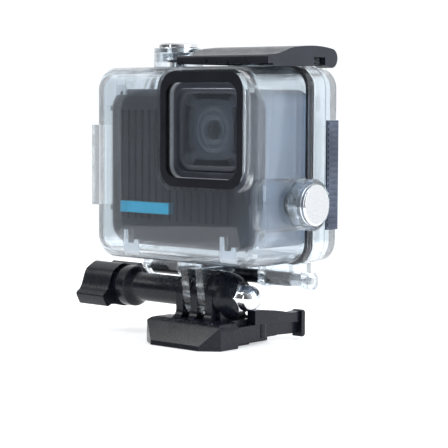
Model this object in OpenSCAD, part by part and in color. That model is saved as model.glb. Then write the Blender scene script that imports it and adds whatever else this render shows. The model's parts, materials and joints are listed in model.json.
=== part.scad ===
/* [Camera] */
// Width of the camera body
cam_w = 56.6; // [56:0.1:57.2]
// Height of the camera body
cam_h = 47.7; // [47:0.1:48.2]
// Front face of the camera, measured from the bolt axis
cam_front = -15.2; // [-15.4:0.1:-15]
// Back face of the camera, measured from the bolt axis
cam_back = 13.6; // [13:0.1:14]
// Corner radius of the camera's outline
cam_r = 6.5; // [5:0.5:7.5]

/* [Lens] */
// Lens centre to the right of the centre line
lens_x = 15.6; // [15.2:0.1:15.8]
// Lens centre above the base
lens_z = 66.2; // [65.8:0.1:66.2]
// Side of the square lens surround
bezel_w = 24; // [23:0.5:24]
// Radius of the engraved lens ring
ring_r = 6.5; // [6:0.1:7]

/* [Housing] */
// Width of the clear front shell
shell_w = 66; // [65:0.5:66.5]
// Wall of the clear parts
wall = 2.4; // [2.2:0.1:2.6]
// Height of the housing's underside
shell_bottom = 25.3; // [25.2:0.1:25.5]
// Height of the housing's top
shell_top = 85.4; // [85.2:0.1:85.6]
// Front face of the front shell
shell_front = -18.2; // [-18.4:0.1:-18]
// Back face of the door
door_back = 20.7; // [20.5:0.1:20.9]
// Corner radius of the housing's outline
shell_r = 7; // [6:0.5:8]
// Side of the square lens port
port_w = 35.6; // [35:0.1:35.6]
// How far the port stands out of the front face
port_out = 3; // [2.8:0.1:3.4]

/* [Buttons] */
// Radius of the chrome button caps
cap_r = 6.1; // [5.8:0.1:6.1]
// Radius of the clear button bosses
boss_r = 7.7; // [7.5:0.1:7.8]

/* [Latch] */
// Width of the latch lever
lever_w = 36; // [35:0.5:36]
// Wall of the hollow latch lever
lever_wall = 1.5; // [1.3:0.1:1.6]

/* [Mount] */
// Height of the clamp bolt's axis
bolt_z = 15; // [14.9:0.1:15.1]
// Thickness of one mounting finger
finger_t = 2.9; // [2.8:0.05:2.95]
// Radius of the rounded fingers
finger_r = 7.5; // [7.3:0.1:7.5]
// Radius of the clamp bolt
bolt_r = 2.5; // [2.5:0.01:2.52]
// Half width of the quick-release buckle's nose
nose_x = 15.4; // [15.2:0.1:15.6]
// Height of the buckle's body
buckle_h = 8; // [7.8:0.1:8]
// Slope of the thumb screw's paddle at rest
paddle_tilt = 28; // [0:1:45]

/* [Hidden] */
$fn = 48;

gap = 0.1;                                   // clearance between sliding faces
fit = 0.05;                                  // radial clearance of a running fit
bite = 0.5;                                  // overlap that joins two shapes of one solid
cam_mid_z = 54.35;                           // camera's centre height
cam_x = cam_w / 2;
cam_top = cam_mid_z + cam_h / 2;
cam_low = cam_mid_z - cam_h / 2;
case_wall = 1.6;
rim = 1;                                     // how far the rim stands out of the shell's sides
rim_y = 7.2;                                 // face of the front shell's rim
door_y = 8.2;                                // face of the door's rim
step_y = 13.6;                               // where the door steps in
rim_w = shell_w + 2 * rim;
shell_ease = 4;                              // radius of the front shell's front edges
cam_ease = 3;                                // radius of the camera's front edges
shell_h = shell_top - shell_bottom;
shell_z = (shell_top + shell_bottom) / 2;
shell_x = shell_w / 2;
port_x = shell_x - port_w / 2;               // the port is flush with the shell's right side
port_z = 66;
port_front = shell_front - port_out;
window_w = 31;
window_back = shell_front - 0.8;
mask_t = 0.4;
top_b = [-13.2, -0.6];                       // top button's axis in X and Y
side_b = [2.2, 44.3];                        // side button's axis in Y and Z
boss_h = 5.4;
block_x = shell_x + 2;                       // face of the raised block round the side button
boss_face = shell_x + 5.6;
boss_top = shell_top + boss_h;
cap_h = 2.8;
cap_out = 1.5;
recess_r = cap_r + 0.2;
stem_r = 2;
seal_r = 0.65;
hinge = [8.3, 20.9];                         // door hinge axis in Y and Z
sleeve_r = 2.2;
sleeves = [[-31.2, -19.6], [-16.8, 14.8], [17.4, 25.4]]; // ends of the door's hinge sleeves
ear_gap = 0.2;
ear_t = 2.2;
ear_r = 2.7;
ear_end = 34;                                // outer face of the outer hinge ears
pin_r = 1;
bead = [13.1, 86.6];                         // latch catch axis in Y and Z
bead_r = 1.05;
latch = [17.5, 87.6];                        // latch hinge axis in Y and Z
latch_r = 2.9;
lever_x0 = shell_x - lever_w;
lug_x = [3, 24];                             // left faces of the door's two latch lugs
lug_w = 4;
finger_p = finger_t + gap;                   // pitch of the interleaved fingers
boss_end = 9.8;
knob_x = -37.5;                              // inner face of the thumb screw's paddle
knob_end = -50;
paddle_half = 10.2;
paddle_t = 4.7;
hub_r = 6.8;
shaft_r = 4.5;
bolt_x = [-22, 16.4];                        // ends of the clamp bolt
nut_x = 9.7;                                 // inner face of the nut
nut_af = 8;
nut_hex = 4.8;
dome_r = 3.95;
dome_x = 15.65;
lever_skirt = shell_top + 0.25;
lever_top = 87.8;                            // top of the cutout in the lever's right side
cut_y = [8.8, 14.4];                         // front and back of that cutout
crest = [9, 91.2];                           // the lever's highest point
crest_rise = crest[1] - latch[1];
crest_r = ((latch[0] - crest[0]) ^ 2 + crest_rise ^ 2 - latch_r ^ 2) / (2 * (crest_rise - latch_r));
crest_c = [crest[0], crest[1] - crest_r];
crest_end = atan2(latch[1] - crest_c[1], latch[0] - crest_c[0]);
split_front = -9;                            // seams between the camera's covers and its body
split_back = 11.6;
groove_low = 38.4;
groove_top = 71.8;
groove_mid = 51.5;                           // top of the grooves below the lens
buckle_front = -16.4;
nose_back = -4.3;
nose_corner = [9.6, -12.3];                  // where the slanted front corners start in X and end in Y
core_x = 12.1;                               // half width between the two rails
rail_x = 15.1;
rail_z = [1.4, 6.3];
rail_back = 6.2;
plate_top = 2;                               // plate that carries the release arms' pivots
arm = [13.9, 8.1];                           // right release arm's pivot in X and Y
arm_x = [12.3, 15.5];                        // its inner and outer faces
arm_pin_r = 0.8;

function arc(c, r, a0, a1, n = 12) =
    [for (i = [0:n]) c + r * [cos(a0 + (a1 - a0) * i / n), sin(a0 + (a1 - a0) * i / n)]];
function blend(a, b, n = 10) =
    [for (i = [0:n]) let (t = i / n) [a[0] + (b[0] - a[0]) * t,
        a[1] + (b[1] - a[1]) * t * t * (3 - 2 * t)]];

module rounded(w, h, r) {
    square([w - 2 * r, h], center = true);
    square([w, h - 2 * r], center = true);
    for (x = [-1, 1], y = [-1, 1]) translate([x * (w / 2 - r), y * (h / 2 - r)]) circle(r = r);
}
// A rounded plate that faces along Y, centred at x and z
module slab(w, h, r, y0, y1, x = 0, z = 0) {
    translate([x, y1, z]) rotate([90, 0, 0]) linear_extrude(y1 - y0) rounded(w, h, r);
}
// One closed outline of a plate's corners and sides, drawn in by inset at y
function outline(w, h, r, inset, y, z, n) = [for (q = [0:3]) for (k = [0:n])
    let (a = 90 * (q + k / n), sx = q == 0 || q == 3 ? 1 : -1, sz = q < 2 ? 1 : -1)
        [sx * (w / 2 - r) + (r - inset) * cos(a), y, z + sz * (h / 2 - r) + (r - inset) * sin(a)]];
// The same plate with a rolled edge of radius e all round its face at y0
module rolled(w, h, r, y0, y1, z, e, steps = 5, n = 8) {
    m = 4 * (n + 1);
    rings = concat([for (i = [0:steps]) let (a = 90 * i / steps)
        outline(w, h, r, e * (1 - sin(a)), y0 + e * (1 - cos(a)), z, n)], [outline(w, h, r, 0, y1, z, n)]);
    skin = [for (i = [0:steps]) for (k = [0:m - 1]) let (next = (k + 1) % m)
        [i * m + k, i * m + next, (i + 1) * m + next, (i + 1) * m + k]];
    caps = [[for (k = [m - 1:-1:0]) k], [for (k = [0:m - 1]) (steps + 1) * m + k]];
    polyhedron(points = [for (ring = rings) each ring], faces = concat(skin, caps), convexity = 4);
}
// A box from two opposite corners
module block(a, b) { translate(a) cube(b - a); }
module rod_x(x0, x1, at, r) {
    translate([x0, at[0], at[1]]) rotate([0, 90, 0]) cylinder(h = x1 - x0, r = r);
}
// A profile drawn in Y and Z, extruded along X
module prism_x(x0, x1) { translate([x0, 0, 0]) rotate([90, 0, 90]) linear_extrude(x1 - x0) children(); }
// Turns something built along Z to point along +X at the side button
module at_side() { translate([0, side_b[0], side_b[1]]) rotate([0, 90, 0]) children(); }
module at_top() { translate([top_b[0], top_b[1], 0]) children(); }
module ring_z(z, big, small) {
    translate([0, 0, z]) rotate_extrude() translate([big, 0]) circle(r = small, $fn = 24);
}
// A wire coil along Z, as a tube swept round a helix
module coil(z0, z1, r, wire, turns) {
    steps = 16 * turns;
    sides = 6;
    pts = [for (i = [0:steps]) for (k = [0:sides - 1])
        let (a = 360 * i * turns / steps, b = 360 * k / sides, q = r + wire * cos(b))
        [q * cos(a), q * sin(a), z0 + wire + (z1 - z0 - 2 * wire) * i / steps + wire * sin(b)]];
    skin = [for (i = [0:steps - 1]) for (k = [0:sides - 1])
        let (n = (k + 1) % sides) [i * sides + k, (i + 1) * sides + k, (i + 1) * sides + n, i * sides + n]];
    ends = [[for (k = [0:sides - 1]) k], [for (k = [sides - 1:-1:0]) steps * sides + k]];
    polyhedron(points = pts, faces = concat(skin, ends), convexity = 8);
}

// ---- clear housing ----
module housing_fingers() {
    for (s = [-1, 1]) {
        x = s * finger_p;
        prism_x(x - finger_t / 2, x + finger_t / 2) difference() {
            union() {
                translate([0, bolt_z]) circle(r = finger_r);
                polygon([[finger_r * cos(194), bolt_z + finger_r * sin(194)], [rim_y, bolt_z],
                    [rim_y, shell_bottom + wall / 2], [-9.2, shell_bottom + wall / 2]]);
            }
            translate([0, bolt_z]) circle(r = bolt_r + fit);
            translate(hinge) circle(r = sleeve_r + 0.3);
        }
    }
    half = finger_p + finger_t / 2;
    block([-half, -9, shell_bottom - 1.8], [half, 5, shell_bottom + wall / 2]);
}
module hinge_ear(x0, x1) {
    difference() {
        union() {
            rod_x(x0, x1, hinge, ear_r);
            block([x0, hinge[0] - ear_r, hinge[1]], [x1, rim_y, shell_bottom + wall / 2]);
        }
        rod_x(x0 - 1, x1 + 1, hinge, pin_r + fit);
    }
}
// Two ears and the wall in front of them, on the right; x is the inner ear's face, low the wall's lower edge
module hinge_side(x, low) {
    hinge_ear(ear_end - ear_t - 0.3, ear_end);
    hinge_ear(x, x + ear_t);
    block([x, 5, low], [ear_end, 5.8, shell_bottom + wall / 2]);
    block([x, 5, shell_bottom - 1.6], [ear_end, rim_y, shell_bottom + wall / 2]);
}
module locating_tabs() {
    inner = shell_front + wall;
    for (x = [-21.3, 18.4]) {
        block([x, inner - bite, cam_low - 2.6], [x + 1.4, inner + 0.4, cam_low + 4.4]);
        block([x, inner - bite, cam_low - 2.6], [x + 6.5, inner + 0.4, cam_low + 1.6]);
    }
    block([-24.2, inner - bite, cam_top - 1.8], [-20.4, inner + 0.4, cam_top + 3]);
    for (z = [40.4, 71.4]) block([-shell_x + wall / 2, -12, z], [-cam_x - 0.3, -10.4, z + 1.6]);
}
module latch_catch() {
    block([2, 5.4, shell_top - 1], [31.2, rim_y, bead[1] + 0.3]);
    block([2, 5.4, bead[1] - 0.3], [31.2, bead[0], bead[1] + 0.3]);
    rod_x(2, 31.2, bead, bead_r);
}
module front_shell() {
    color([0.86, 0.92, 0.97, 0.35]) {
        difference() {
            union() {
                rolled(shell_w, shell_h - 1.2, shell_r, shell_front, rim_y - 1, shell_z, shell_ease);
                slab(rim_w, shell_h, shell_r, rim_y - 2, rim_y, 0, shell_z);
                slab(port_w, port_w, 6, port_front, shell_front + shell_ease, port_x, port_z);
                translate([block_x - 8, 0, 0]) rolled(16, 16, 3, shell_front + 1.2, rim_y - 2, side_b[1], 3);
                at_side() translate([0, 0, block_x - bite])
                    cylinder(h = boss_face - block_x + bite, r = boss_r);
                at_top() translate([0, 0, shell_top - 1.4]) cylinder(h = boss_h + 1.4, r = boss_r);
                block([-shell_x - 2.4, -16.6, 42], [-shell_x + 1.5, -3, 67]);
            }
            rolled(shell_w - 2 * wall, shell_h - 1.2 - 2 * wall, shell_r - wall,
                shell_front + wall, rim_y + 1, shell_z, shell_ease - wall);
            slab(window_w - 2.4, window_w - 2.4, 4, port_front - 1, shell_front + wall + 1, port_x, port_z);
            slab(window_w + 2 * gap, window_w + 2 * gap, 5, port_front - 1, window_back, port_x, port_z);
            at_side() {
                translate([0, 0, shell_x - wall - 1]) cylinder(h = 12, r = stem_r + fit);
                translate([0, 0, block_x - 0.6]) cylinder(h = 8, r = recess_r);
            }
            at_top() {
                translate([0, 0, shell_top - 2 * wall]) cylinder(h = 12, r = stem_r + fit);
                translate([0, 0, shell_top + 1]) cylinder(h = 8, r = recess_r);
            }
        }
        housing_fingers();
        hinge_side(sleeves[1][1] + ear_gap, hinge[1] - ear_r);
        mirror([1, 0, 0]) hinge_side(ear_gap - sleeves[1][0], hinge[1] - 0.5);
        locating_tabs();
        latch_catch();
    }
}
module port_mask_ring() {
    color([0.06, 0.06, 0.08]) difference() {
        slab(window_w + 1.4, window_w + 3.1, 5.6, port_front - mask_t, port_front, port_x, port_z + 0.3);
        slab(window_w - 3, window_w - 3, 3.8, port_front - 1, port_front + 1, port_x, port_z);
    }
}
module port_window() {
    color([0.8, 0.88, 0.95, 0.3])
        slab(window_w, window_w, 4.9, port_front, window_back - 0.6, port_x, port_z);
}
module port_seal() {
    color([0.1, 0.1, 0.11]) difference() {
        slab(window_w, window_w, 4.9, window_back - 0.6, window_back, port_x, port_z);
        slab(window_w - 2.4, window_w - 2.4, 4, window_back - 1, window_back + 1, port_x, port_z);
    }
}
module shell_gasket() {
    color([0.05, 0.06, 0.07]) difference() {
        slab(rim_w - 0.6, shell_h - 0.6, shell_r - 0.3, rim_y, door_y, 0, shell_z);
        slab(rim_w - 5, shell_h - 5, shell_r - 2.5, rim_y - 1, door_y + 1, 0, shell_z);
    }
}
module rear_door() {
    color([0.84, 0.9, 0.96, 0.35]) {
        difference() {
            union() {
                slab(rim_w, shell_h, shell_r, door_y, step_y, 0, shell_z);
                mirror([0, 1, 0])
                    rolled(rim_w - 1, shell_h - 1, shell_r - 0.5, -door_back, bite - step_y, shell_z, 2);
            }
            slab(shell_w - 2 * wall, shell_h - 1.2 - 2 * wall, shell_r - wall,
                door_y - 1, door_back - wall, 0, shell_z);
            rod_x(lever_x0 - 0.4, 40, latch, latch_r + 0.35);
        }
        for (x = lug_x) difference() {
            union() {
                rod_x(x, x + lug_w, latch, 1.9);
                block([x, latch[0] - 1.6, shell_top - 1.6], [x + lug_w, latch[0] + 1.6, latch[1]]);
            }
            rod_x(x - 1, x + lug_w + 1, latch, pin_r + fit);
        }
        for (span = sleeves) difference() {
            block([span[0], door_y + 0.1, hinge[1]], [span[1], door_y + 1.9, shell_bottom + 1.2]);
            rod_x(span[0] - 1, span[1] + 1, hinge, sleeve_r);
        }
    }
}
module door_grips() {
    color([0.35, 0.42, 0.52]) for (s = [-1, 1]) {
        x = s > 0 ? rim_w / 2 - 0.5 : -rim_w / 2 - 0.1;
        block([x, step_y + 0.8, 36], [x + 0.6, door_back - 0.9, 69]);
        for (i = [0:18]) {
            z = 37 + i * 1.7;
            rib_x = s > 0 ? x + 0.4 : x - 0.3;
            block([rib_x, step_y + 1.2, z], [rib_x + 0.5, door_back - 1.3, z + 0.9]);
        }
    }
}
module door_cushions() {
    color([0.2, 0.2, 0.22]) for (x = [-1, 1], z = [-1, 1])
        slab(12, 5, 2.4, cam_back + 0.4, door_back - wall, x * 18, cam_mid_z + z * 19.5);
}
module hinge_sleeves() {
    color([0.1, 0.11, 0.13]) for (span = sleeves) difference() {
        rod_x(span[0], span[1], hinge, sleeve_r);
        rod_x(span[0] - 1, span[1] + 1, hinge, pin_r + fit);
    }
}
module door_hinge_pin() { color([0.6, 0.62, 0.65]) rod_x(0.4 - ear_end, ear_end - 0.4, hinge, pin_r); }
module hinge_spring() {
    color([0.62, 0.64, 0.68]) translate([sleeves[2][1] + 0.4, hinge[0], hinge[1]]) rotate([0, 90, 0])
        coil(0, 5.4, 1.6, 0.4, 6);
}

// ---- latch ----
lever_out = concat([[-12.2, lever_skirt]], arc([-11.4, 87.4], 0.8, 180, 90, 4),
    blend([-9.9, 88.3], [1.4, 90.7]), arc(crest_c, crest_r, 97, crest_end, 8),
    arc(latch, latch_r, crest_end, -90, 16), [[13.6, lever_skirt]]);
lever_in = concat([[-10.6, 80], [-10.6, 86.9]], blend([-9, 87.1], [2, 89.2]), [[9, 89.6]],
    arc(latch, latch_r + 0.5, 145, 225, 8), [[15.1, 80]]);
module latch_lever() {
    color([0.09, 0.1, 0.12]) difference() {
        union() {
            prism_x(lever_x0, shell_x) polygon(lever_out);
            block([shell_x - lever_wall, -10, lever_skirt - 0.6], [shell_x, cut_y[0], lever_skirt + 0.5]);
        }
        prism_x(lever_x0 + lever_wall, shell_x - lever_wall) polygon(lever_in);
        block([shell_x - lever_wall - 1, cut_y[0], 80], [shell_x + 1, cut_y[1], lever_top]);
        for (x = lug_x) block([x - 0.2, 14.1, 80], [x + lug_w + 0.2, 25, 95]);
        rod_x(lever_x0 - 1, shell_x - 1, latch, pin_r + fit);
    }
}
module latch_pin() { color([0.62, 0.64, 0.67]) rod_x(lever_x0 + 0.3, shell_x - 1.2, latch, pin_r); }

// ---- buttons ----
// A cap and stem along Z: face is the outer face, tip the end of the stem
module button(face, tip) {
    translate([0, 0, face - 0.5]) cylinder(h = 0.5, r1 = cap_r, r2 = cap_r - 0.5);
    difference() {
        translate([0, 0, face - cap_h]) cylinder(h = cap_h - 0.4, r = cap_r);
        ring_z(face - cap_h / 2, cap_r, 0.25);
    }
    translate([0, 0, tip]) cylinder(h = face - tip - 1, r = stem_r);
}
module clip(z) {
    difference() {
        translate([0, 0, z]) cylinder(h = 0.6, r = 3.4);
        translate([0, 0, z - 1]) cylinder(h = 3, r = stem_r);
        translate([-0.9, 0, z - 1]) cube([1.8, 5, 3]);
    }
}
module top_button() { color([0.86, 0.87, 0.89]) at_top() button(boss_top + cap_out, cam_top + 1.1); }
module top_button_spring() {
    color([0.7, 0.72, 0.75]) at_top() coil(shell_top + 1.05, boss_top + cap_out - cap_h - 0.05, 4.6, 0.35, 3);
}
module top_button_seal() {
    color([0.07, 0.07, 0.08]) at_top() ring_z(shell_top + 1 + seal_r, stem_r + fit + seal_r, seal_r);
}
module top_button_clip() { color([0.7, 0.72, 0.75]) at_top() clip(shell_top - 0.6 - wall - 0.7); }
module side_button() { color([0.9, 0.9, 0.93]) at_side() button(boss_face + cap_out, cam_x + 0.6); }
module side_button_spring() {
    color([0.7, 0.72, 0.75]) at_side() coil(block_x - 0.55, boss_face + cap_out - cap_h - 0.05, 4.6, 0.35, 3);
}
module side_button_seal() {
    color([0.07, 0.07, 0.08]) at_side() ring_z(block_x - 0.6 + seal_r, stem_r + fit + seal_r, seal_r);
}
module side_button_clip() { color([0.7, 0.72, 0.75]) at_side() clip(shell_x - wall - 0.7); }

// ---- camera ----
// The camera's outline from y0 to y1, drawn in by one case wall
module case_core(y0, y1) {
    slab(cam_w - 2 * case_wall, cam_h - 2 * case_wall, cam_r - case_wall, y0, y1, 0, cam_mid_z);
}
module camera_front_cover() {
    color([0.29, 0.31, 0.37]) difference() {
        rolled(cam_w, cam_h, cam_r, cam_front, split_front, cam_mid_z, cam_ease);
        case_core(cam_front + 2.2, split_front + 1);
        slab(bezel_w - 3, bezel_w - 3, 4, cam_front - 1, split_front + 1, lens_x - 0.2, lens_z);
        for (i = [0:15]) block([-22.6 + 2.9 * i, cam_front - 1, groove_low],
            [-21.4 + 2.9 * i, cam_front + 0.7, i < 7 ? groove_top : groove_mid]);
        block([-23.2, cam_front - 1, 40.2], [-2.6, cam_front + 1, 43.8]);
    }
}
module camera_accent_bar() {
    color([0.1, 0.66, 0.86]) block([-23.1, cam_front + 0.1, 40.3], [-2.7, cam_front + 1, 43.7]);
}
module camera_body_shell() {
    color([0.3, 0.34, 0.42]) difference() {
        slab(cam_w, cam_h, cam_r, split_front, split_back, 0, cam_mid_z);
        case_core(split_front - 1, split_back + 1);
        at_top() translate([0, 0, cam_top - 4]) cylinder(h = 8, r = 4.6);
        at_side() translate([0, 0, cam_x - 4]) cylinder(h = 8, r = 3.6);
        block([-cam_x - 1, -6, 42], [-cam_x + 3, 8, 68]);
    }
}
module camera_rear_cover() {
    color([0.24, 0.26, 0.31]) difference() {
        mirror([0, 1, 0]) rolled(cam_w, cam_h, cam_r, -cam_back, -split_back, cam_mid_z, 1);
        slab(48.4, 34.4, 2.2, split_back + 1, cam_back + 1, 0, cam_mid_z);
        slab(44, 30, 1.5, split_back - 1, cam_back + 1, 0, cam_mid_z);
    }
}
module camera_side_door() {
    color([0.27, 0.3, 0.37]) block([-cam_x, -5.9, 42.1], [-cam_x + case_wall, 7.9, 67.9]);
}
module camera_shutter_button() {
    color([0.55, 0.1, 0.12]) at_top() translate([0, 0, cam_top - case_wall])
        cylinder(h = case_wall + 1, r = 4.5);
}
module camera_mode_button() {
    color([0.4, 0.44, 0.52]) at_side() translate([0, 0, cam_x - case_wall])
        cylinder(h = case_wall + 0.5, r = 3.5);
}
module lens_bezel() {
    color([0.2, 0.22, 0.27]) difference() {
        union() {
            slab(bezel_w, bezel_w, 5, cam_front - 2.2, cam_front, lens_x - 0.2, lens_z);
            slab(bezel_w - 3.2, bezel_w - 3.2, 3.9, cam_front - bite, cam_front + 2.4, lens_x - 0.2, lens_z);
        }
        slab(21.4, 21.4, 3.4, cam_front - 3, cam_front - 1.2, lens_x, lens_z);
        translate([lens_x, cam_front + 4, lens_z]) rotate([90, 0, 0]) cylinder(h = 8, r = ring_r + 0.6);
    }
}
module lens_cover_glass() {
    color([0.5, 0.55, 0.6, 0.5]) slab(21.3, 21.3, 3.35, cam_front - 2.1, cam_front - 1.2, lens_x, lens_z);
}
// A round part of the lens along Y
module lens_part(y0, y1, r) {
    translate([lens_x, y1, lens_z]) rotate([90, 0, 0]) cylinder(h = y1 - y0, r = r);
}
module lens_trim_ring() {
    color([0.35, 0.38, 0.43]) difference() {
        lens_part(cam_front - 1, cam_front + 1, ring_r + 0.5);
        lens_part(cam_front - 2, cam_front + 2, ring_r - 0.9);
    }
}
module lens_front_element() {
    color([0.25, 0.28, 0.36, 0.7]) translate([lens_x, cam_front + 1.5, lens_z]) rotate([90, 0, 0])
        rotate_extrude() intersection() {
            translate([0, -9.5]) circle(r = 11);
            translate([0, -0.5]) square([ring_r - 1, 3]);
        }
}
module lens_barrel() {
    color([0.08, 0.08, 0.09]) difference() {
        lens_part(cam_front + 2, 1, ring_r + 0.4);
        lens_part(cam_front + 1, 2, ring_r - 1);
    }
}
module lens_rear_element() { color([0.4, 0.5, 0.6, 0.5]) lens_part(-6, -3.5, ring_r - 1.1); }
module image_sensor() {
    color([0.1, 0.25, 0.2]) block([lens_x - 7, 1.1, lens_z - 7], [lens_x + 7, 2.6, lens_z + 7]);
}
module main_board() {
    color([0.05, 0.3, 0.2]) {
        block([-24, 4, 34], [24, 5.2, 74.6]);
        for (i = [0:2]) block([-18 + 14 * i, 5.1, 44], [-9 + 14 * i, 6.6, 53]);
    }
}
module battery_pack() { color([0.25, 0.27, 0.3]) slab(34, 31, 2, -12.4, 3, -9, 49.8); }
module display_panel() { color([0.1, 0.11, 0.13]) slab(46, 32, 1, split_back - 2, split_back, 0, cam_mid_z); }
module rear_screen_glass() {
    color([0.04, 0.05, 0.07]) slab(48.2, 34.2, 2.1, split_back + 1, cam_back, 0, cam_mid_z);
}

// ---- quick-release mount ----
module buckle_finger(x) {
    prism_x(x - finger_t / 2, x + finger_t / 2) difference() {
        union() {
            translate([0, bolt_z]) circle(r = finger_r);
            translate([-finger_r, 5]) square([2 * finger_r, bolt_z - 5]);
            difference() {
                translate([-finger_r - 2.5, 6]) square([2 * finger_r + 5, 4.5]);
                for (s = [-1, 1]) translate([s * (finger_r + 2.5), 10.5]) circle(r = 2.5);
            }
        }
        translate([0, bolt_z]) circle(r = bolt_r + fit);
    }
}
// The buckle's full-width nose: sloping front, slanted corners and rounded top edges
module buckle_nose() {
    edge = 2.4;
    front = buckle_front - 0.1;
    intersection() {
        prism_x(-nose_x, nose_x) polygon(concat([[nose_back, 0], [buckle_front, 0]],
            [[buckle_front + 0.2, 1.4]], arc([-10.2, buckle_h - 3], 3, 146, 90, 6), [[nose_back, buckle_h]]));
        translate([0, nose_back + 1, 0]) rotate([90, 0, 0]) linear_extrude(20)
            polygon(concat([[nose_x, -1]], arc([nose_x - edge, buckle_h - edge], edge, 0, 90, 8),
                arc([edge - nose_x, buckle_h - edge], edge, 90, 180, 8), [[-nose_x, -1]]));
        translate([0, 0, -1]) linear_extrude(buckle_h + 2)
            polygon([[-nose_x, nose_back + 1], [-nose_x, nose_corner[1]], [-nose_corner[0], front],
                [nose_corner[0], front], [nose_x, nose_corner[1]], [nose_x, nose_back + 1]]);
    }
}
// A domed boss along X beside the last finger
module nut_boss() {
    bulge = [-2.45, 9.8];
    translate([6.6, 0, bolt_z]) rotate([0, 90, 0]) rotate_extrude()
        polygon(concat([[0, 0]], arc([bulge[0], 0], bulge[1], 0, 41, 8), [[0, bulge[1] * sin(41)]]));
}
module buckle_base() {
    color([0.08, 0.085, 0.1]) {
        difference() {
            union() {
                buckle_nose();
                block([-core_x, nose_back - bite, 0], [core_x, 4.6, buckle_h]);
                for (s = [0, 1]) mirror([s, 0, 0])
                    block([core_x - bite, nose_back - bite, rail_z[0]], [rail_x, rail_back, rail_z[1]]);
                block([-10.5, 4, 0], [10.5, 15, 5.5]);
                block([-rail_x, 4, rail_z[0]], [rail_x, arm[1] + 1.6, plate_top]);
                for (s = [-1, 1]) translate([s * arm[0], arm[1], rail_z[0]]) cylinder(h = 6.4, r = arm_pin_r);
            }
            rod_x(-finger_p * 2.5, finger_p * 2.5, [0, bolt_z], finger_r + 1);
        }
        for (i = [-2, 0]) buckle_finger(i * finger_p);
        difference() {
            union() {
                buckle_finger(2 * finger_p);
                nut_boss();
                block([2 * finger_p, -5.6, 5], [nut_x - 0.4, 5.6, bolt_z]);
            }
            rod_x(0, 20, [0, bolt_z], bolt_r + fit);
            translate([nut_x - gap, 0, bolt_z]) rotate([0, 90, 0]) rotate(30)
                cylinder(h = 8, r = (nut_af / 2 + fit) / cos(30), $fn = 6);
        }
    }
}
module release_arm_right() {
    step = 14.1;                             // where the finger recess starts
    color([0.11, 0.13, 0.17]) difference() {
        union() {
            translate([arm[0], arm[1], plate_top + gap]) cylinder(h = 8, r = 1.6);
            prism_x(arm_x[0], arm_x[1]) polygon([[3.4, rail_z[1] + gap], [3.4, 10.8], [4, 10.9], [7, 10.7],
                [step, 9.8], [step, 5.9], [9.6, 6.3]]);
            prism_x(arm_x[0], arm_x[1] - 0.3) polygon(concat([[step - 1, 6], [step - 1, 9.8]],
                blend([step, 9.75], [22.6, 8.5], 6), [[25.6, 8.8], [25.6, 5.3]]));
            prism_x(arm_x[0], arm_x[1] - 0.4) polygon([[arm[1], plate_top + gap], [arm[1], 6.4], [step, 6],
                [step, plate_top + gap]]);
            prism_x(arm_x[0], arm_x[1] - 1.3) polygon([[step - 1, plate_top + gap], [step - 1, 6],
                [25.6, 5.4], [25.6, 1.6]]);
            prism_x(arm_x[0], arm_x[1] + 0.6) polygon([[25.3, 0.6], [25.3, 8.9], [26.3, 9.1],
                [27, 8.4], [27, 1.2], [26.4, 0.6]]);
        }
        translate([arm[0], arm[1], 0]) cylinder(h = 8.2, r = arm_pin_r + fit);
    }
}
module release_arm_left() { mirror([1, 0, 0]) release_arm_right(); }
module thumb_screw_knob() {
    edge = 1;
    tip = [paddle_half - edge, paddle_t / 2 - edge];
    half = concat(blend([1.5, -hub_r], [tip[0] - 0.5, -paddle_t / 2], 10),
        arc([tip[0], -tip[1]], edge, -90, 0, 4), arc(tip, edge, 0, 90, 4),
        blend([tip[0] - 0.5, paddle_t / 2], [1.5, hub_r], 10));
    shaft_end = -2 * finger_p - finger_t / 2 - gap - knob_x;
    drum = concat(blend([0.4, 5.8], [2.6, 6.5], 5), blend([5.6, 6.5], [8, shaft_r], 6));
    turned = concat([[0, -0.5], [5.7, -0.5]], [for (p = drum) [p[1], p[0]]],
        [[shaft_r, shaft_end], [0, shaft_end]]);
    color([0.08, 0.08, 0.09]) difference() {
        translate([0, 0, bolt_z]) union() {
            prism_x(knob_end, knob_x) rotate(paddle_tilt) polygon(concat(half, -half));
            translate([knob_x, 0, 0]) rotate([0, 90, 0]) rotate_extrude() polygon(turned);
        }
        rod_x(bolt_x[0], 0, [0, bolt_z], bolt_r);
    }
}
module clamp_bolt() { color([0.7, 0.72, 0.75]) rod_x(bolt_x[0], bolt_x[1], [0, bolt_z], bolt_r); }
module acorn_nut() {
    color([0.88, 0.88, 0.9]) difference() {
        union() {
            translate([nut_x, 0, bolt_z]) rotate([0, 90, 0]) {
                intersection() {
                    rotate(30) cylinder(h = nut_hex, r = nut_af / 2 / cos(30), $fn = 6);
                    translate([0, 0, -4]) cylinder(h = nut_hex + 4, r1 = 13, r2 = 3.9);
                }
                cylinder(h = dome_x - nut_x, r = dome_r);
            }
            translate([dome_x, 0, bolt_z]) sphere(r = dome_r);
        }
        rod_x(0, bolt_x[1] + 0.4, [0, bolt_z], bolt_r + fit);
    }
}

front_shell();
port_mask_ring();
port_window();
port_seal();
shell_gasket();
rear_door();
door_grips();
door_cushions();
hinge_sleeves();
door_hinge_pin();
hinge_spring();
latch_lever();
latch_pin();
top_button();
top_button_spring();
top_button_seal();
top_button_clip();
side_button();
side_button_spring();
side_button_seal();
side_button_clip();
camera_front_cover();
camera_accent_bar();
camera_body_shell();
camera_rear_cover();
camera_side_door();
camera_shutter_button();
camera_mode_button();
lens_bezel();
lens_cover_glass();
lens_trim_ring();
lens_front_element();
lens_barrel();
lens_rear_element();
image_sensor();
main_board();
battery_pack();
display_panel();
rear_screen_glass();
buckle_base();
release_arm_right();
release_arm_left();
thumb_screw_knob();
clamp_bolt();
acorn_nut();
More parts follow.
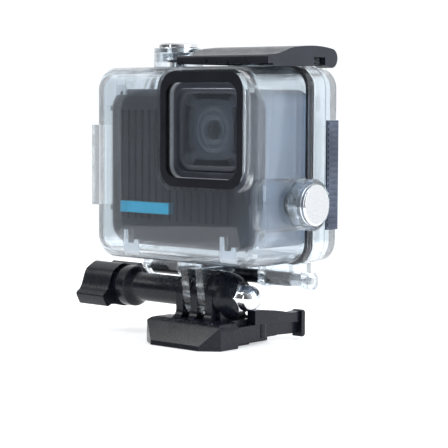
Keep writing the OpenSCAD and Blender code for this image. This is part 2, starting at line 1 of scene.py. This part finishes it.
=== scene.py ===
"""Looks of an action camera in its clear dive housing, on a quick-release mount.

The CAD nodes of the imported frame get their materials, smooth shading and softened edges here. New pieces
are the stepped lens ring with its dark circles and dome, the sleeve and inner mask behind the port, and the
pale faces of the housing's locating hooks. Lengths are in millimetres, and times MM for Blender.
"""
import json
import math

import bmesh
import bpy
from mathutils import Matrix, Vector


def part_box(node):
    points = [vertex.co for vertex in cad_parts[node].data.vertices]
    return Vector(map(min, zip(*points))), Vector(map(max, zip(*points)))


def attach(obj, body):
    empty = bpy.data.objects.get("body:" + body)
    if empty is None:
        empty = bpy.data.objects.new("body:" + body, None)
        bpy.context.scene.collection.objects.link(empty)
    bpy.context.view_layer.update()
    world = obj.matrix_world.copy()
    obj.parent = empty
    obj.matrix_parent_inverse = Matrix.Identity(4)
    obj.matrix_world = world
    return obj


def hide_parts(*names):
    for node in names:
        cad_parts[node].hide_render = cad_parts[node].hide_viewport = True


MM = 0.001
WELD = 0.002              # corners closer than this are one corner
SHARP_SHADING = 16        # degrees between faces from which an edge is shaded as an edge
SHARP_BEVEL = 24          # degrees between faces from which an edge is rounded
TURN_STEPS = 96           # faces round a turned piece
CORNER_STEPS = 10         # faces round each corner of a square ring

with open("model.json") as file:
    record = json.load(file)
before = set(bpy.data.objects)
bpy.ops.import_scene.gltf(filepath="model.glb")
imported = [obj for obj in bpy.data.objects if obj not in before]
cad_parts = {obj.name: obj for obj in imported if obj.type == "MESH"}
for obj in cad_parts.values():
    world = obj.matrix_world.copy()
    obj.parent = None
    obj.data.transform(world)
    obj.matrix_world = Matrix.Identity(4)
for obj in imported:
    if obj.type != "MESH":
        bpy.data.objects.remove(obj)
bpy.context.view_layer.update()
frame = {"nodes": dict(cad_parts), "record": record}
nodes = frame["nodes"]


# ---------------------------------------------------------------- camera and studio
def aim(obj, place, target, roll=0.0):
    """Put obj at place, looking at target, turned by roll degrees about its own view line."""
    direction = Vector(target) - Vector(place)
    turn = direction.to_track_quat("-Z", "Y").to_matrix().to_4x4()
    obj.matrix_world = Matrix.Translation(place) @ turn @ Matrix.Rotation(math.radians(roll), 4, "Z")


def make_camera():
    """A long lens in front of the object and to its right, a little above the horizontal."""
    azimuth, elevation, roll = math.radians(41.55), math.radians(4.41), 0.3
    target = Vector((5.55, 0.0, 37.04)) * MM
    distance = 497.4 * MM
    level = math.cos(elevation)
    toward = Vector((math.sin(azimuth) * level, -math.cos(azimuth) * level, math.sin(elevation)))
    place = target + distance * toward
    data = bpy.data.cameras.new("camera")
    data.sensor_width = 36.0
    data.lens = 130.4
    data.clip_start = 0.01
    camera = bpy.data.objects.new("camera", data)
    bpy.context.scene.collection.objects.link(camera)
    aim(camera, place, target, roll)
    bpy.context.scene.camera = camera


def area_light(name, place, target, size, power, colour=(1.0, 1.0, 1.0)):
    """A rectangular light, in metres and watts, that faces target."""
    data = bpy.data.lights.new(name, "AREA")
    data.shape = "RECTANGLE"
    data.size, data.size_y = size
    data.energy = power
    data.color = colour
    light = bpy.data.objects.new(name, data)
    bpy.context.scene.collection.objects.link(light)
    aim(light, place, target)


def make_world():
    """White to the eye, brightest behind the object and dimmer on the camera's side for contrast."""
    brightest_way = (0.25, 0.94, 0.22)
    dim_at, bright_at = -0.7, 0.4            # share of brightest_way in a ray's direction
    dim, bright, backdrop = 0.13, 1.05, 1.08
    world = bpy.data.worlds.new("studio")
    bpy.context.scene.world = world
    world.use_nodes = True
    tree = world.node_tree
    along = tree.nodes.new("ShaderNodeVectorMath")
    along.operation = "DOT_PRODUCT"
    along.inputs[1].default_value = brightest_way
    tree.links.new(tree.nodes.new("ShaderNodeTexCoord").outputs["Generated"], along.inputs[0])
    span = tree.nodes.new("ShaderNodeMapRange")
    span.inputs["From Min"].default_value = dim_at
    span.inputs["From Max"].default_value = bright_at
    span.inputs["To Min"].default_value = dim
    span.inputs["To Max"].default_value = bright
    tree.links.new(along.outputs["Value"], span.inputs["Value"])
    seen = tree.nodes.new("ShaderNodeMath")
    seen.operation = "MULTIPLY"
    seen.inputs[1].default_value = backdrop
    tree.links.new(tree.nodes.new("ShaderNodeLightPath").outputs["Is Camera Ray"], seen.inputs[0])
    most = tree.nodes.new("ShaderNodeMath")
    most.operation = "MAXIMUM"
    tree.links.new(span.outputs["Result"], most.inputs[0])
    tree.links.new(seen.outputs["Value"], most.inputs[1])
    background = tree.nodes["Background"]
    background.inputs["Color"].default_value = (0.95, 0.975, 1.0, 1.0)
    tree.links.new(most.outputs["Value"], background.inputs["Strength"])


def make_floor():
    """A small round floor, pale and faintly glowing, just below the object."""
    radius, drop = 260 * MM, 0.2 * MM
    bpy.ops.mesh.primitive_circle_add(vertices=96, radius=radius, fill_type="NGON", location=(0, 0, -drop))
    floor = bpy.context.object
    floor.name = "floor"
    paint = bpy.data.materials.new("floor_paint")
    paint.use_nodes = True
    shader = paint.node_tree.nodes["Principled BSDF"]
    shader.inputs["Base Color"].default_value = (0.95, 0.95, 0.955, 1.0)
    shader.inputs["Roughness"].default_value = 0.6
    shader.inputs["Specular IOR Level"].default_value = 0.1
    shader.inputs["Emission Color"].default_value = (1.0, 1.0, 1.0, 1.0)
    shader.inputs["Emission Strength"].default_value = 0.45
    floor.data.materials.append(paint)


def make_lights():
    """A key from the front left, a thin strip in front and a bluish light on the right."""
    centre = (0.0, 0.0, 0.05)
    area_light("key", (-0.45, -0.5, 0.6), centre, (0.35, 0.35), 3.0)
    area_light("strip", (-0.1, -0.75, 0.12), centre, (0.08, 0.5), 0.4)
    area_light("side", (0.75, 0.1, 0.3), centre, (0.5, 0.6), 5.0, (0.86, 0.92, 1.0))


make_camera()
make_world()
make_floor()
make_lights()
bpy.context.scene.view_settings.view_transform = "Standard"


# ---------------------------------------------------------------- materials
class Paint:
    """Builds one procedural material: a Principled shader and the nodes that feed it."""

    def __init__(self, name):
        self.material = bpy.data.materials.new(name)
        self.material.use_nodes = True
        self.tree = self.material.node_tree
        self.shader = self.tree.nodes["Principled BSDF"]
        self.position = self.tree.nodes.new("ShaderNodeTexCoord").outputs["Object"]

    def set(self, **values):
        """Set constants on the shader's sockets, named with _ for a space."""
        for key, value in values.items():
            self.shader.inputs[key.replace("_", " ")].default_value = value

    def noise(self, scale, detail=3.0):
        """Noise in object space; scale is in waves per metre."""
        texture = self.tree.nodes.new("ShaderNodeTexNoise")
        texture.inputs["Scale"].default_value = scale
        texture.inputs["Detail"].default_value = detail
        self.tree.links.new(self.position, texture.inputs["Vector"])
        return texture.outputs["Fac"]

    def ramp(self, factor, low, high, start, end):
        """Colour that runs from low to high as factor goes from start to end."""
        ramp = self.tree.nodes.new("ShaderNodeValToRGB")
        for element, place, colour in zip(ramp.color_ramp.elements, (start, end), (low, high)):
            element.position = place
            element.color = (*colour, 1)
        self.tree.links.new(factor, ramp.inputs["Fac"])
        return ramp.outputs["Color"]

    def colour(self, factor, low, high):
        self.tree.links.new(self.ramp(factor, low, high, 0.35, 0.65), self.shader.inputs["Base Color"])

    def rough(self, factor, low, high):
        grey = self.ramp(factor, [low] * 3, [high] * 3, 0.3, 0.7)
        self.tree.links.new(grey, self.shader.inputs["Roughness"])

    def bump(self, factor, strength, depth):
        """Relief that follows factor; depth is in metres."""
        bump = self.tree.nodes.new("ShaderNodeBump")
        bump.inputs["Strength"].default_value = strength
        bump.inputs["Distance"].default_value = depth
        self.tree.links.new(factor, bump.inputs["Height"])
        self.tree.links.new(bump.outputs["Normal"], self.shader.inputs["Normal"])


def moulded(name, low, high, rough, gloss=0.5, grain=9000.0, depth=0.02 * MM):
    """Moulded plastic or rubber: fine grain, slight colour drift and uneven gloss."""
    paint = Paint(name)
    paint.colour(paint.noise(160.0), low, high)
    paint.rough(paint.noise(420.0), rough * 0.85, rough * 1.2)
    paint.bump(paint.noise(grain, 2.0), 0.35, depth)
    paint.set(Specular_IOR_Level=gloss)
    return paint.material


def clear(name, tint, rough, ior, alpha=1.0, haze=0.0, coat=0.0):
    """Clear polished plastic or glass with faint flow lines; haze is the share that scatters light."""
    paint = Paint(name)
    paint.colour(paint.noise(60.0), tint, tuple(min(1.0, c * 1.02) for c in tint))
    paint.bump(paint.noise(45.0, 1.0), 0.05, 0.2 * MM)
    paint.set(Transmission_Weight=1.0 - haze, Roughness=rough, IOR=ior, Alpha=alpha, Coat_Weight=coat)
    return paint.material


def metal(name, tint, rough):
    """Polished or satin metal with a very fine grain."""
    grain = 3000.0
    paint = Paint(name)
    paint.colour(paint.noise(grain), tuple(c * 0.88 for c in tint), tint)
    paint.rough(paint.noise(grain), rough * 0.7, rough * 1.3)
    paint.bump(paint.noise(grain, 2.0), 0.3, 0.004 * MM)
    paint.set(Metallic=1.0)
    return paint.material


materials = {
    "clear_plastic": clear("clear_plastic", (0.88, 0.945, 1.0), 0.02, ior=1.36, alpha=0.8, haze=0.03,
                           coat=0.4),
    "optical_glass": clear("optical_glass", (0.97, 0.98, 0.99), 0.01, ior=1.2, alpha=0.5),
    "port_black": moulded("port_black", (0.006, 0.007, 0.011), (0.009, 0.01, 0.015), 0.5, gloss=0.15),
    "seal_rubber": moulded("seal_rubber", (0.012, 0.012, 0.014), (0.02, 0.02, 0.022), 0.7, gloss=0.3),
    "grip_rubber": moulded("grip_rubber", (0.035, 0.045, 0.07), (0.075, 0.09, 0.13), 0.6,
                           grain=2500.0, depth=0.1 * MM),
    "hinge_black": moulded("hinge_black", (0.008, 0.009, 0.014), (0.014, 0.016, 0.022), 0.3),
    "steel": metal("steel", (0.6, 0.61, 0.64), 0.28),
    "chrome_metal": metal("chrome_metal", (0.9, 0.91, 0.93), 0.07),
    "lever_black": moulded("lever_black", (0.012, 0.014, 0.021), (0.017, 0.019, 0.028), 0.3, gloss=0.4),
    "camera_slate": moulded("camera_slate", (0.02, 0.022, 0.034), (0.03, 0.033, 0.048), 0.5, gloss=0.3),
    "accent_blue": moulded("accent_blue", (0.02, 0.5, 0.8), (0.04, 0.56, 0.86), 0.4),
    "shutter_red": moulded("shutter_red", (0.3, 0.01, 0.015), (0.38, 0.02, 0.025), 0.4),
    "lens_black": moulded("lens_black", (0.075, 0.08, 0.1), (0.085, 0.092, 0.115), 0.4),
    "trim_grey": metal("trim_grey", (0.16, 0.17, 0.2), 0.3),
    "circuit_board": moulded("circuit_board", (0.01, 0.1, 0.05), (0.015, 0.16, 0.07), 0.4),
    "sensor_glass": moulded("sensor_glass", (0.02, 0.06, 0.08), (0.03, 0.08, 0.12), 0.12),
    "battery_grey": moulded("battery_grey", (0.06, 0.065, 0.08), (0.09, 0.1, 0.12), 0.5),
    "screen_black": moulded("screen_black", (0.003, 0.004, 0.005), (0.006, 0.007, 0.009), 0.12),
    "mount_black": moulded("mount_black", (0.005, 0.006, 0.01), (0.008, 0.009, 0.015), 0.26, gloss=0.28),
}
# finishes of single pieces inside a slot; camera_side and lens_cover hold painted reflection in their
# colours
# painted reflection: the cover glass's grey tint and diffuse haze stand in for the grey reflection seen on
# it
lens_cover = clear("lens_cover", (0.42, 0.48, 0.55), 0.02, ior=1.1, alpha=0.42, haze=0.13, coat=0.6)
lens_coated = clear("lens_coated", (0.97, 0.98, 0.99), 0.01, ior=1.04, alpha=0.3)
lens_turned = moulded("lens_turned", (0.15, 0.17, 0.205), (0.17, 0.19, 0.23), 0.35)
lens_dark = moulded("lens_dark", (0.008, 0.009, 0.014), (0.012, 0.013, 0.02), 0.08)
# painted reflection: lighter blue-grey than camera_slate, standing in for the bright light from the right
# reflected in the housing wall over the camera's side
camera_side = moulded("camera_side", (0.13, 0.17, 0.24), (0.15, 0.195, 0.27), 0.5)
frosted = moulded("frosted", (0.8, 0.84, 0.9), (0.88, 0.91, 0.96), 0.5)
mask_slate = moulded("mask_slate", (0.05, 0.055, 0.075), (0.06, 0.065, 0.085), 0.35)


# ---------------------------------------------------------------- CAD pieces
def dress_cad():
    """Give every CAD node the material of its slot, and four nodes a finish of their own. The camera body
    shell and the lens cover glass get colours that hold painted reflection.
    """
    slots = {row["node"]: row["material_slot"] for row in frame["record"]["subparts"]}
    for name, obj in nodes.items():
        obj.data.materials.clear()
        obj.data.materials.append(materials[slots[name]])
    # the lens cover glass gets the grey tint and haze of painted reflection
    nodes["lens_cover_glass"].data.materials[0] = lens_cover
    nodes["lens_front_element"].data.materials[0] = lens_coated
    # the camera body shell gets the lighter blue-grey of painted reflection
    nodes["camera_body_shell"].data.materials[0] = camera_side
    nodes["camera_shutter_button"].data.materials[0] = materials["camera_slate"]


def smoothing():
    """A node group that welds a mesh's split corners and shades it smooth except at real edges."""
    group = bpy.data.node_groups.new("weld_and_smooth", "GeometryNodeTree")
    group.interface.new_socket("Geometry", in_out="INPUT", socket_type="NodeSocketGeometry")
    group.interface.new_socket("Geometry", in_out="OUTPUT", socket_type="NodeSocketGeometry")
    source, result = group.nodes.new("NodeGroupInput"), group.nodes.new("NodeGroupOutput")
    weld = group.nodes.new("GeometryNodeMergeByDistance")
    weld.inputs["Distance"].default_value = WELD * MM
    faces = group.nodes.new("GeometryNodeSetShadeSmooth")
    edges = group.nodes.new("GeometryNodeSetShadeSmooth")
    edges.domain = "EDGE"
    edges.inputs["Shade Smooth"].default_value = False
    angle = group.nodes.new("GeometryNodeInputMeshEdgeAngle")
    sharp = group.nodes.new("FunctionNodeCompare")
    sharp.inputs["B"].default_value = math.radians(SHARP_SHADING)
    chain = [source, weld, faces, edges, result]
    for before, after in zip(chain, chain[1:]):
        group.links.new(before.outputs["Geometry"], after.inputs["Geometry"])
    group.links.new(angle.outputs["Unsigned Angle"], sharp.inputs["A"])
    group.links.new(sharp.outputs["Result"], edges.inputs["Selection"])
    return group


def smooth_cad():
    """Weld and smooth every CAD node."""
    group = smoothing()
    for obj in nodes.values():
        obj.modifiers.new("smooth", "NODES").node_group = group


def soften(width, names):
    """Round the sharp edges of CAD nodes so that they catch the light."""
    for name in names:
        bevel = nodes[name].modifiers.new("edges", "BEVEL")
        bevel.width = width * MM
        bevel.segments = 3
        bevel.limit_method = "ANGLE"
        bevel.angle_limit = math.radians(SHARP_BEVEL)
        bevel.harden_normals = True


dress_cad()
smooth_cad()
soften(0.35, ["buckle_base", "release_arm_right", "release_arm_left", "thumb_screw_knob", "latch_lever"])
soften(0.25, ["front_shell", "rear_door", "lens_bezel", "camera_side_door"])
soften(0.15, ["side_button", "top_button", "acorn_nut", "port_mask_ring", "camera_accent_bar",
              "rear_screen_glass"])


# ---------------------------------------------------------------- new pieces
def add_mesh(name, verts, faces, material, body, smooth=True):
    """A new piece from points in millimetres, on the body that it moves with."""
    mesh = bpy.data.meshes.new(name)
    mesh.from_pydata([tuple(c * MM for c in v) for v in verts], [], faces)
    work = bmesh.new()
    work.from_mesh(mesh)
    bmesh.ops.recalc_face_normals(work, faces=work.faces)
    work.to_mesh(mesh)
    work.free()
    for face in mesh.polygons:
        face.use_smooth = smooth
    mesh.materials.append(material)
    piece = bpy.data.objects.new(name, mesh)
    bpy.context.scene.collection.objects.link(piece)
    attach(piece, body)
    return piece


def turned_y(name, profile, centre, material, body):
    """A closed profile of (radius, y) points turned about a line along Y through centre (x, z)."""
    count = len(profile)
    verts, faces = [], []
    for i in range(TURN_STEPS):
        angle = 2 * math.pi * i / TURN_STEPS
        verts += [(centre[0] + r * math.cos(angle), y, centre[1] + r * math.sin(angle)) for r, y in profile]
        for k in range(count):
            after, up = (i + 1) % TURN_STEPS, (k + 1) % count
            faces.append((i * count + k, after * count + k, after * count + up, i * count + up))
    return add_mesh(name, verts, faces, material, body)


def rounded_square(centre, size, radius, y):
    """The points of a square with round corners, about centre (x, z) at depth y."""
    points = []
    for quarter, (right, up) in enumerate(((1, 1), (-1, 1), (-1, -1), (1, -1))):
        for k in range(CORNER_STEPS + 1):
            angle = math.pi / 2 * (quarter + k / CORNER_STEPS)
            points.append((centre[0] + right * (size / 2 - radius) + radius * math.cos(angle), y,
                           centre[1] + up * (size / 2 - radius) + radius * math.sin(angle)))
    return points


def square_ring(name, centre, outer, inner, y0, y1, edge, material, body):
    """A square frame facing along Y: outer and inner are (size, radius), front edges cut back by edge."""
    (size_out, r_out), (size_in, r_in) = outer, inner
    loops = [(size_out, r_out, y1), (size_out, r_out, y0 + edge), (size_out - 2 * edge, r_out - edge, y0),
             (size_in + 2 * edge, r_in + edge, y0), (size_in, r_in, y0 + edge), (size_in, r_in, y1)]
    verts = [point for loop in loops for point in rounded_square(centre, *loop)]
    count = len(verts) // len(loops)
    faces = []
    for i in range(len(loops)):
        a, b = i * count, (i + 1) % len(loops) * count
        faces += [(a + k, a + (k + 1) % count, b + (k + 1) % count, b + k) for k in range(count)]
    return add_mesh(name, verts, faces, material, body, smooth=False)


def plate(name, outline, y0, y1, material, body):
    """A flat plate facing along Y from an (x, z) outline, with its edges just broken."""
    count = len(outline)
    verts = [(x, y, z) for y in (y0, y1) for x, z in outline]
    faces = [tuple(range(count)), tuple(range(2 * count - 1, count - 1, -1))]
    faces += [(k, (k + 1) % count, count + (k + 1) % count, count + k) for k in range(count)]
    piece = add_mesh(name, verts, faces, material, body, smooth=False)
    bevel = piece.modifiers.new("edges", "BEVEL")
    bevel.width = 0.08 * MM
    bevel.segments = 2
    return piece


def middle(name):
    """The centre of a CAD node's box in millimetres."""
    low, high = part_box(name)
    return [(low[i] + high[i]) / 2 / MM for i in range(3)]


def make_lens():
    """Stepped lens ring with two dark circles on its face, and the dark domed element inside it."""
    x, _, z = middle("lens_trim_ring")
    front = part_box("lens_trim_ring")[0][1] / MM
    face, back = front + 0.12, front + 1.2
    rim_r, well_r = 6.9, 3.1
    ring = [(rim_r, front + 0.3), (rim_r - 0.3, face), (well_r + 0.2, face), (well_r, front + 0.5),
            (well_r, back), (rim_r, back)]
    piece = turned_y("lens_stepped_ring", ring, (x, z), lens_turned, "housing")
    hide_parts("lens_trim_ring")

    line, proud, sunk = 0.16, 0.06, 0.05       # width of a circle, and how far it stands out and goes in
    for number, radius in enumerate((5.4, 4.8), 1):
        circle = [(radius, face - proud), (radius, face + sunk),
                  (radius - line, face + sunk), (radius - line, face - proud)]
        turned_y(f"lens_circle_{number}", circle, (x, z), lens_dark, "housing")

    dome_r, rise, pole = 3.0, 0.7, 0.001       # pole keeps the turned points off the axis
    dome = [(pole + dome_r * math.sin(math.radians(a)), face + rise * (1 - math.cos(math.radians(a))))
            for a in range(0, 91, 10)]
    dome += [(dome_r, back), (pole, back)]
    turned_y("lens_front_dome", dome, (x, z), lens_dark, "housing")


def make_port():
    """Pale sleeve and dark inner mask that show behind the port's window."""
    x, _, z = middle("port_window")
    low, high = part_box("port_seal")
    back = high[1] / MM
    opening, corner = (high[0] - low[0]) / MM - 2.6, 3.9
    sleeve_wall, mask_wall = 0.15, 1.9
    square_ring("port_sleeve", (x, z), (opening, corner), (opening - 2 * sleeve_wall, corner - 0.1),
                back + 0.05, back + 0.6, 0.05, frosted, "housing")
    square_ring("port_inner_mask", (x, z), (opening, corner), (opening - 2 * mask_wall, corner - 0.7),
                back + 0.7, back + 1.2, 0.15, mask_slate, "housing")


def make_hooks():
    """Frosted faces of the housing's locating hooks, in front of the camera's lower and upper edges."""
    low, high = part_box("camera_front_cover")
    left, right, bottom, top, face = low[0] / MM, high[0] / MM, low[2] / MM, high[2] / MM, low[1] / MM
    hook = [(0, 0), (6.5, 0), (6.5, 2.6), (5.9, 4.2), (4.6, 4.2), (4.2, 3.0), (1.9, 3.0), (1.5, 7.0),
            (0, 7.0)]
    clip = [(0, 0), (1.3, 0), (1.3, 1.2), (2.5, 1.2), (2.5, 0), (3.8, 0), (3.8, 3.0), (0, 3.0)]
    spots = [(hook, left + 7.0, bottom - 2.6), (hook, right - 9.9, bottom - 2.6),
             (clip, left + 4.1, top - 1.8)]
    for number, (outline, x, z) in enumerate(spots, 1):
        plate(f"locating_hook_{number}", [(x + dx, z + dz) for dx, dz in outline], face - 0.16, face - 0.04,
              frosted, "housing")


make_lens()
make_port()
make_hooks()
